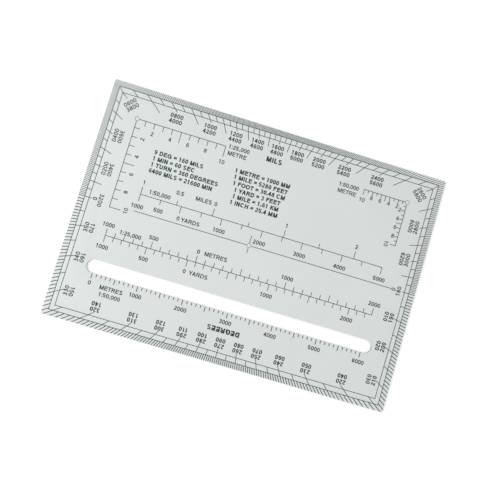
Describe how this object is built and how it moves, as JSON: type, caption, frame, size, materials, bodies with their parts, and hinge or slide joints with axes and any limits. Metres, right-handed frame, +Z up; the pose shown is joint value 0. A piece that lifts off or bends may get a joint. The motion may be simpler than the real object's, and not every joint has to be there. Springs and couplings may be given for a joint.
{
  "type": "map coordinate reader",
  "caption": "Flat clear plastic map reader with angle scales round its border, corner roamers for grid references, straight distance scales and a long slot.",
  "frame": {"origin": "centre of the underside, below the middle of the two angle scales", "axes": "+X along the base line towards the zero of the degree scale, +Y towards the mil scale, +Z up out of the printed face"},
  "size_m": [0.152, 0.105, 0.001],
  "materials": {
    "clear_sheet": "clear rigid vinyl sheet with cut edges",
    "matt_film": "thin matt film",
    "ink": "dark grey-green screen ink"
  },
  "bodies": {
    "root": {"base_sheet": "clear_sheet", "printed_film": "matt_film", "mil_scale_print": "ink", "degree_scale_print": "ink", "centre_ring_print": "ink", "base_line_left_print": "ink", "base_line_right_print": "ink", "centre_tick_upper_print": "ink", "centre_tick_lower_print": "ink", "roamer_25000_ring_print": "ink", "roamer_25000_east_arm_print": "ink", "roamer_25000_south_arm_print": "ink", "roamer_50000_ring_print": "ink", "roamer_50000_west_arm_print": "ink", "roamer_50000_south_arm_print": "ink", "miles_and_yards_scale_print": "ink", "metres_and_yards_scale_print": "ink"}
  },
  "joints": []
}
